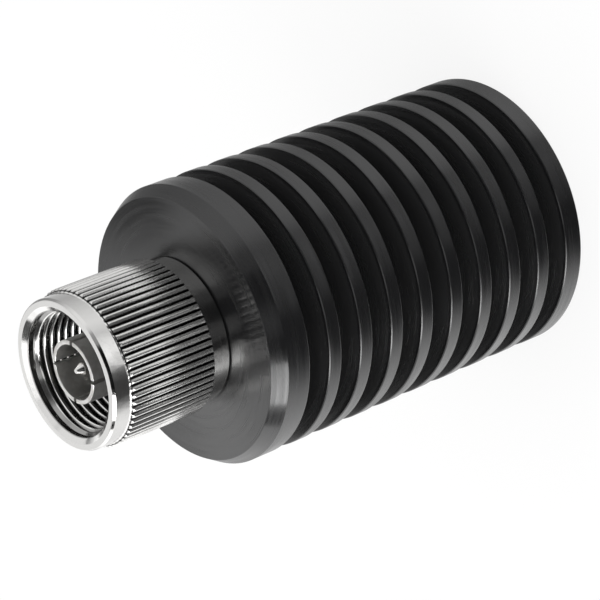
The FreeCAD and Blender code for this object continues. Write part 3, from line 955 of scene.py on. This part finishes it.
@dataclass
class PlugFront:
    """What shows inside the nut's mouth: the slotted outer contact, the pin, the bead and the gasket."""

    line_bore: float = 3.5
    ferrule_radius: float = 4.05
    ferrule_root: float = 4.35
    ferrule_flange: float = 4.75
    ferrule_rear: float = 56.5
    flange_front: float = 58.0
    root_front: float = 59.3
    slot_floor: float = 60.6
    ferrule_front: float = 67.6
    lip: float = 0.07
    lip_rise: tuple[float, ...] = (0.08, 0.92, 1.0)
    lip_drop: tuple[float, ...] = (0.0, 0.9, 1.05)
    row_margin: float = 0.03
    slot_width: float = 0.5
    slots: int = 4
    first_slot: float = 45.0
    finger_columns: int = 28
    bead_rear: float = 53.5
    bead_rim: float = 4.3
    bead_front: float = 59.0
    bead_breaks: tuple[float, float] = (0.1, 0.12)
    neck: float = 1.0
    pin_shoulder: float = 1.52
    shoulder_front: float = 62.1
    shoulder_break: float = 0.12
    pin_radius: float = 0.83
    pin_tip: float = 67.2
    nose_length: float = 0.9
    nose_radius: float = 0.3
    nose_breaks: tuple[float, float] = (0.15, 0.12)
    stud_radius: float = 0.8
    stud_rear: float = 50.5
    gasket_inside: float = 4.4
    gasket_outside: float = 6.7
    gasket_front: float = 59.0
    gasket_breaks: tuple[float, float] = (0.1, 0.15)
    columns: int = 128

    def finger_angles(self, radius: np.ndarray) -> np.ndarray:
        """The outer contact's columns, which run from one edge of each finger to the other.

        A slot's edges are parallel, so at the radius r they lie asin(half width / r) from its middle, and a
        finger's columns lie evenly between the edges of two slots.

        Args:
            radius: each row's radius.

        Returns:
            The columns' angles, row by row.
        """
        share = np.linspace(0, 1, self.finger_columns)
        middles = np.radians(self.first_slot) + np.arange(self.slots) * FULL_TURN / self.slots
        edge = np.arcsin(self.slot_width / 2 / radius)[:, None, None]
        around = middles[None, :, None] + edge + share * (FULL_TURN / self.slots - 2 * edge)
        return around.reshape(len(radius), -1)

    def ferrule(self) -> bpy.types.Object:
        """The outer contact: a tube whose slots split it into spring fingers.

        Above the slots' floor the cells between two fingers are left out, and the inner and outer surfaces
        are joined along the edges instead.

        Returns:
            The object.
        """
        step, lip_start = self.row_margin, self.ferrule_front - self.lip
        height = [self.ferrule_rear, self.flange_front - step, self.flange_front, self.root_front - step]
        height += [self.root_front, self.slot_floor, lip_start - step, lip_start]
        floor_row = height.index(self.slot_floor)
        outer = [self.ferrule_flange] * 2 + [self.ferrule_root] * 2 + [self.ferrule_radius] * 4
        inner = [self.line_bore] * len(height)
        rise, drop = (np.array(shares) * self.lip for shares in (self.lip_rise, self.lip_drop))
        height = np.array([*height, *(lip_start + rise)])
        outer = np.array([*outer, *(self.ferrule_radius - drop)])
        inner = np.array([*inner, *(self.line_bore + drop)])
        outside = ring_grid(np.stack([outer, height], 1)[:, None], self.finger_angles(outer))
        inside = ring_grid(np.stack([inner, height], 1)[:, None], self.finger_angles(inner))
        rows, count = outside.shape[:2]
        front = np.arange(rows * count).reshape(rows, count)
        back = front + rows * count
        front_next, back_next = np.roll(front, -1, axis=1), np.roll(back, -1, axis=1)
        open_cell = np.zeros((rows - 1, count), dtype=bool)
        open_cell[floor_row:, self.finger_columns - 1 :: self.finger_columns] = True
        solid = ~open_cell
        skin = np.stack([front[:-1], front_next[:-1], front_next[1:], front[1:]], -1)[solid]
        lining = np.stack([back[1:], back_next[1:], back_next[:-1], back[:-1]], -1)[solid]
        rear = np.stack([back[0], back_next[0], front_next[0], front[0]], -1)
        land = np.stack([front[-1], front_next[-1], back_next[-1], back[-1]], -1)[solid[-1]]
        floor = np.stack([front[floor_row], front_next[floor_row], back_next[floor_row], back[floor_row]], -1)
        floor = floor[open_cell[-1]]
        near = np.stack([front[:-1], front[1:], back[1:], back[:-1]], -1)[open_cell]
        far = np.stack([front_next[:-1], back_next[:-1], back_next[1:], front_next[1:]], -1)[open_cell]
        quads = np.concatenate([skin, lining, rear, land, floor, near[:, ::-1], far[:, ::-1]])
        points = np.concatenate([outside.reshape(-1, 3), inside.reshape(-1, 3)])
        return make_piece("outer_contact_slotted", points, quads)

    def pin(self) -> bpy.types.Object:
        """The centre contact, with its shoulder, its conical nose and the stud behind the bead.

        Returns:
            The object.
        """
        cone_break, tip_break = self.nose_breaks
        outline = Outline().to(0, self.stud_rear).to(self.stud_radius, self.stud_rear)
        outline.to(self.stud_radius, self.bead_rear).to(self.neck, self.bead_rear)
        outline.to(self.neck, self.bead_front).to(self.pin_shoulder, self.bead_front)
        outline.to(self.pin_shoulder, self.shoulder_front, self.shoulder_break)
        outline.to(self.pin_radius, self.shoulder_front)
        outline.to(self.pin_radius, self.pin_tip - self.nose_length, cone_break)
        outline.to(self.nose_radius, self.pin_tip, tip_break).to(0, self.pin_tip)
        return turn_piece("center_contact_turned", outline, self.columns)

    def bead(self) -> bpy.types.Object:
        """The insulator, whose front face closes the line between the ferrule and the pin's shoulder.

        Returns:
            The object.
        """
        rear_break, front_break = self.bead_breaks
        outline = Outline().to(self.neck, self.bead_rear).to(self.bead_rim, self.bead_rear, rear_break)
        outline.to(self.bead_rim, self.ferrule_rear).to(self.line_bore, self.ferrule_rear)
        outline.to(self.line_bore, self.bead_front, front_break).to(self.neck, self.bead_front)
        return turn_piece("front_insulator_turned", outline, self.columns)

    def gasket(self) -> bpy.types.Object:
        """The flat ring that the mate's rim presses on.

        Returns:
            The object.
        """
        rear_break, front_break = self.gasket_breaks
        outline = Outline().to(self.gasket_inside, self.flange_front, rear_break)
        outline.to(self.gasket_outside, self.flange_front, rear_break)
        outline.to(self.gasket_outside, self.gasket_front, front_break)
        outline.to(self.gasket_inside, self.gasket_front, front_break)
        return turn_piece("mating_gasket_moulded", outline, self.columns)

    def build(self) -> int:
        """Build the four pieces in place of their solids.

        Returns:
            How many faces they have.
        """
        made = [
            (self.ferrule(), "outer_contact", FERRULE_PLATE),
            (self.pin(), "center_contact", CONTACT_PLATE),
            (self.bead(), "front_insulator", DARK_INSULATOR),
            (self.gasket(), "mating_gasket", BLACK_RUBBER),
        ]
        for piece, node, finish in made:
            dress(piece, finish.material())
            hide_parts(node)
            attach(piece, Body.TERMINATOR.value)
        return sum(len(piece.data.polygons) for piece, *_ in made)


@dataclass
class InnerLoad:
    """The pieces behind the plug's face, which stay as their solids are and get their finishes."""

    finishes: dict[str, Finish] = field(
        default_factory=lambda: {
            "connector_body": TurnedMetal(
                "body_plate", Slot.NICKEL_PLATE, (0.66, 0.655, 0.645), (0.52, 0.515, 0.505), (0.14, 0.26)
            ),
            "retaining_ring": SPRING_BRONZE,
            "flange_seal": BLACK_RUBBER,
            "inner_conductor": CONTACT_PLATE,
            "resistor_rod": CERAMIC_FILM,
            "front_terminal_cap": CONTACT_PLATE,
            "rear_terminal_cap": CONTACT_PLATE,
            "taper_sleeve": BARE_BRASS,
            "ground_collet": SPRING_BRONZE,
            "clamp_nut": BARE_BRASS,
            "disc_spring": SPRING_STEEL,
        }
    )

    def dress(self, nodes: dict[str, bpy.types.Object]) -> int:
        """Give each solid its finish, with one material for each finish.

        Args:
            nodes: the frame's nodes by name.

        Returns:
            How many solids were dressed.
        """
        made: dict[Finish, bpy.types.Material] = {}
        for node, finish in self.finishes.items():
            if finish not in made:
                made[finish] = finish.material()
            dress(nodes[node], made[finish])
        return len(self.finishes)


@dataclass
class Viewpoint:
    """The photograph's camera. Angles are in degrees, and the azimuth is 0 where it looks along +Y."""

    target: tuple[float, float, float] = (-1.935, 0.470, 32.936)
    distance: float = 379.01
    azimuth: float = -13.651
    elevation: float = 35.282
    roll: float = -111.742
    lens: float = 180.97
    sensor: float = 36.0
    clip: tuple[float, float] = (10.0, 10000.0)

    def toward(self) -> Vector:
        """Find the way from the part to the camera.

        Returns:
            The unit vector.
        """
        azimuth, elevation = math.radians(self.azimuth), math.radians(self.elevation)
        level = math.cos(elevation)
        return Vector((math.sin(azimuth) * level, -math.cos(azimuth) * level, math.sin(elevation)))

    def build(self) -> None:
        """Make the camera: tilted down from the horizon, turned about +Z, and rolled about its own axis."""
        data = bpy.data.cameras.new("photograph_camera")
        data.lens, data.sensor_width = self.lens, self.sensor
        data.clip_start, data.clip_end = (distance * MM for distance in self.clip)
        camera = bpy.data.objects.new("photograph_camera", data)
        tilt = Euler((math.radians(90 - self.elevation), 0, math.radians(self.azimuth))).to_matrix()
        turn = tilt @ Matrix.Rotation(math.radians(self.roll), 3, "Z")
        place = (Vector(self.target) + self.toward() * self.distance) * MM
        camera.matrix_world = Matrix.Translation(place) @ turn.to_4x4()
        bpy.context.scene.collection.objects.link(camera)
        bpy.context.scene.camera = camera


@dataclass(frozen=True)
class Card:
    """A round card in the studio, light or dark, that only gloss sees. Angles are in degrees."""

    bearing: float
    height: float
    radius: float
    softness: float
    level: float


@dataclass
class Studio:
    """White floor and backdrop, a soft key light, and the walls, cards and panel that the gloss reflects.

    Bearings are in degrees, 0 towards the camera and anticlockwise from above. The walls and the table give
    light levels by bearing, and the table's hold at the heights between its edges.
    """

    bearing: float
    floor_size: float = 8000.0
    floor_colour: float = 0.97
    floor_white: float = 0.8
    ambient: float = 1.0
    wall_peak: float = 2.0
    walls: tuple[tuple[float, float], ...] = (
        (-180, 0.7), (-163, 0.8), (-153, 1.0), (-143, 1.36), (-133, 1.6), (-112, 1.87), (-102, 1.82),
        (-92, 1.66), (-82, 1.29), (-72, 0.65), (-62, 0.05), (-52, 0.0), (-12, 0.0), (-2, 0.06), (8, 0.16),
        (18, 0.36), (38, 0.38), (48, 0.92), (58, 1.1), (78, 1.05), (98, 0.75), (118, 0.4), (148, 0.3),
        (160, 0.5), (180, 0.7),
    )
    table: tuple[tuple[float, float], ...] = (
        (-180, 0.95), (-150, 1.0), (-104, 1.12), (-88, 0.95), (-74, 0.3), (-62, 0.07), (-36, 0.07),
        (-22, 0.2), (-10, 1.15), (0, 1.4), (20, 1.35), (38, 0.85), (60, 1.0), (98, 0.75), (125, 0.55),
        (150, 0.6), (180, 0.95),
    )
    table_edges: tuple[float, float, float, float] = (-36.5, -34.5, -29.0, -26.0)
    cards: tuple[Card, ...] = (
        Card(180, 34, 10, 5, 1.05), Card(-97, 6, 7, 2, 0.0), Card(-119, 39, 12, 5, 0.1),
        Card(-8, 24, 24, 6, 0.0), Card(-58, 37, 6, 3, 3.0), Card(-22, 43, 10, 4, 0.8),
        Card(20, 55, 16, 6, 0.1), Card(180, 82, 12, 6, 0.3), Card(75, 64, 12, 6, 1.0),
        Card(128, 32, 20, 10, 1.05), Card(-80, 43, 7, 3, 12.0),
    )
    overhead: float = 1.6
    overhead_span: tuple[float, float] = (0.75, 0.95)
    panel_distance: float = 36.0
    panel_width: float = 70.0
    panel_foot: tuple[float, float] = (64.0, 70.0)
    panel_top: tuple[float, float] = (83.7, 82.1)
    panel_fade: tuple[float, float] = (19.0, 3.0)
    panel_levels: tuple[float, float] = (0.12, 1.6)
    key_bearing: float = -68.0
    key_height: float = 17.0
    key_distance: float = 420.0
    key_size: tuple[float, float] = (240.0, 110.0)
    key_radiance: float = 8.0

    def direction(self, bearing: float, height: float) -> Vector:
        """Find the way to a point of the studio.

        Args:
            bearing: its bearing in degrees.
            height: its height above the horizon in degrees.

        Returns:
            The unit vector.
        """
        around, up = math.radians(self.bearing + bearing), math.radians(height)
        return Vector((math.cos(around) * math.cos(up), math.sin(around) * math.cos(up), math.sin(up)))

    def floor(self) -> None:
        """White floor: part of its white is its own light, and the rest is lit, so the shadow stays faint."""
        half = self.floor_size / 2
        corners = np.array([[-half, -half, 0], [half, -half, 0], [half, half, 0], [-half, half, 0]], float)
        floor = make_piece("floor", corners, np.array([[0, 1, 2, 3]]))
        material, graph = new_graph("floor_white")
        path = graph.add("ShaderNodeLightPath", {}, {})
        seen = graph.out(path, "Is Camera Ray") + graph.out(path, "Is Glossy Ray")
        seen = (seen + graph.out(path, "Is Transmission Ray")).at_most(1.0)
        tone = (self.floor_colour,) * 3 + (1.0,)
        matt = graph.add("ShaderNodeBsdfDiffuse", {}, {"Color": tone})
        glow = graph.add("ShaderNodeEmission", {}, {"Color": (1.0, 1.0, 1.0, 1.0), "Strength": 1.0})
        graph.mixed_surface(seen * self.floor_white, graph.out(matt, "BSDF"), graph.out(glow, "Emission"))
        dress(floor, material)
        floor.visible_glossy = False
        floor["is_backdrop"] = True

    def levels(self, graph: Graph, place: Wire, stops: tuple[tuple[float, float], ...]) -> Wire:
        """Light levels by bearing. A ramp holds levels up to 1, so they are shares of the peak in it.

        Args:
            graph: the world's graph.
            place: the bearing, 0 to 1 for -180 to 180 degrees.
            stops: (bearing, level) pairs.

        Returns:
            The level.
        """
        shares = [(bearing / 360 + 0.5, level / self.wall_peak) for bearing, level in stops]
        ramp = graph.add("ShaderNodeValToRGB", {"stops": shares}, {"Fac": place})
        return graph.out(ramp, "Color") * self.wall_peak

    def world(self) -> None:
        """White to the camera, and a plain level to matt surfaces. Gloss sees bright and dark walls."""
        world = bpy.data.worlds.new("studio")
        world.use_nodes = True
        bpy.context.scene.world = world
        graph = Graph(world.node_tree)
        x, y, z = graph.split("Generated")
        facing = self.direction(0, 0)
        along = x * facing.x + y * facing.y
        across = y * facing.x - x * facing.y
        place = across.atan2(along) / FULL_TURN + 0.5
        wall = self.levels(graph, place, self.walls)
        foot, foot_end, rim, rim_end = (math.sin(math.radians(height)) for height in self.table_edges)
        low = z.rise(foot, foot_end) * z.rise(rim_end, rim)
        wall = wall * (1 - low) + self.levels(graph, place, self.table) * low
        top = z.rise(*self.overhead_span)
        wall = wall * (1 - top) + top * self.overhead
        for card in self.cards:
            middle = self.direction(card.bearing, card.height)
            near = x * middle.x + y * middle.y + z * middle.z
            outer, inner = (math.cos(math.radians(card.radius + edge)) for edge in (card.softness, 0))
            share = near.rise(outer, inner)
            wall = wall * (1 - share) + share * card.level
        path = graph.add("ShaderNodeLightPath", {}, {})
        gloss = graph.out(path, "Is Glossy Ray")
        seen = (graph.out(path, "Is Camera Ray") + graph.out(path, "Is Transmission Ray")).at_most(1.0)
        level = (gloss * wall + (1 - gloss) * self.ambient) * (1 - seen) + seen
        shader = graph.add("ShaderNodeBackground", {}, {"Color": level, "Strength": 1.0})
        graph.add("ShaderNodeOutputWorld", {}, {"Surface": graph.out(shader, "Background")})

    def panel(self) -> None:
        """Soft-edged reflector behind the heatsink's face as the camera sees it, darker towards one end."""
        reach, half = self.panel_distance, self.panel_width / 2
        foot, top = self.panel_foot[0], self.panel_top[0]
        ahead, aside = self.direction(180, 0), self.direction(90, 0)
        corners = [(-half, foot), (half, foot), (half, top), (-half, top)]
        points = [ahead * reach + aside * along + Vector((0, 0, height)) for along, height in corners]
        panel = make_piece("panel", np.array(points), np.array([[0, 1, 2, 3]]))
        material, graph = new_graph("panel_white")
        x, y, z = graph.split("Object")
        along = x * aside.x + y * aside.y
        start, end = (edge * MM for edge in self.panel_fade)
        glow = graph.add("ShaderNodeEmission", {}, {"Color": along.rise(start, end, *self.panel_levels)})
        clear = graph.add("ShaderNodeBsdfTransparent", {}, {})
        share = 1.0
        for start, end in (self.panel_foot, self.panel_top):
            share = z.rise(start * MM, end * MM) * share
        graph.mixed_surface(share, graph.out(clear, "BSDF"), graph.out(glow, "Emission"))
        dress(panel, material)
        panel.visible_camera = panel.visible_diffuse = False
        panel.visible_transmission = panel.visible_shadow = False
        panel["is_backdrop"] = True

    def key(self, centre: Vector) -> None:
        """Softbox low on the camera's left.

        Args:
            centre: the point it faces, in metres.
        """
        data = bpy.data.lights.new("key_softbox", "AREA")
        data.shape = "RECTANGLE"
        data.size, data.size_y = self.key_size[0] * MM, self.key_size[1] * MM
        data.energy = self.key_radiance * math.pi * data.size * data.size_y
        lamp = bpy.data.objects.new("key_softbox", data)
        direction = self.direction(self.key_bearing, self.key_height)
        lamp.location = centre + direction * self.key_distance * MM
        lamp.rotation_euler = direction.to_track_quat("Z", "Y").to_euler()
        bpy.context.scene.collection.objects.link(lamp)

    def build(self, centre: Vector) -> None:
        """Make the floor, the world, the panel and the lamp.

        Args:
            centre: the part's middle, in metres.
        """
        self.floor()
        self.world()
        self.panel()
        self.key(centre)
        bpy.context.scene.view_settings.view_transform = "Standard"


def main() -> None:
    """Load the frame, build and dress every piece, and set up the studio and the camera."""
    logging.basicConfig(level=logging.INFO, format="%(name)s: %(message)s")
    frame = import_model()
    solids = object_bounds()
    view = Viewpoint()
    view.build()
    log.info("camera at azimuth %.1f, elevation %.1f", view.azimuth, view.elevation)
    log.info("heatsink: %d faces", Heatsink().build(BlackAnodise()))
    log.info("coupling nut: %d faces", CouplingNut().build(BrightNickel()))
    log.info("plug front: %d faces", PlugFront().build())
    log.info("inner load: %d solids dressed", InnerLoad().dress(frame["nodes"]))
    toward = view.toward()
    studio = Studio(bearing=math.degrees(math.atan2(toward.y, toward.x)))
    studio.build((solids[0] + solids[1]) / 2)
    log.info("studio ready")


if __name__ == "__main__":
    main()
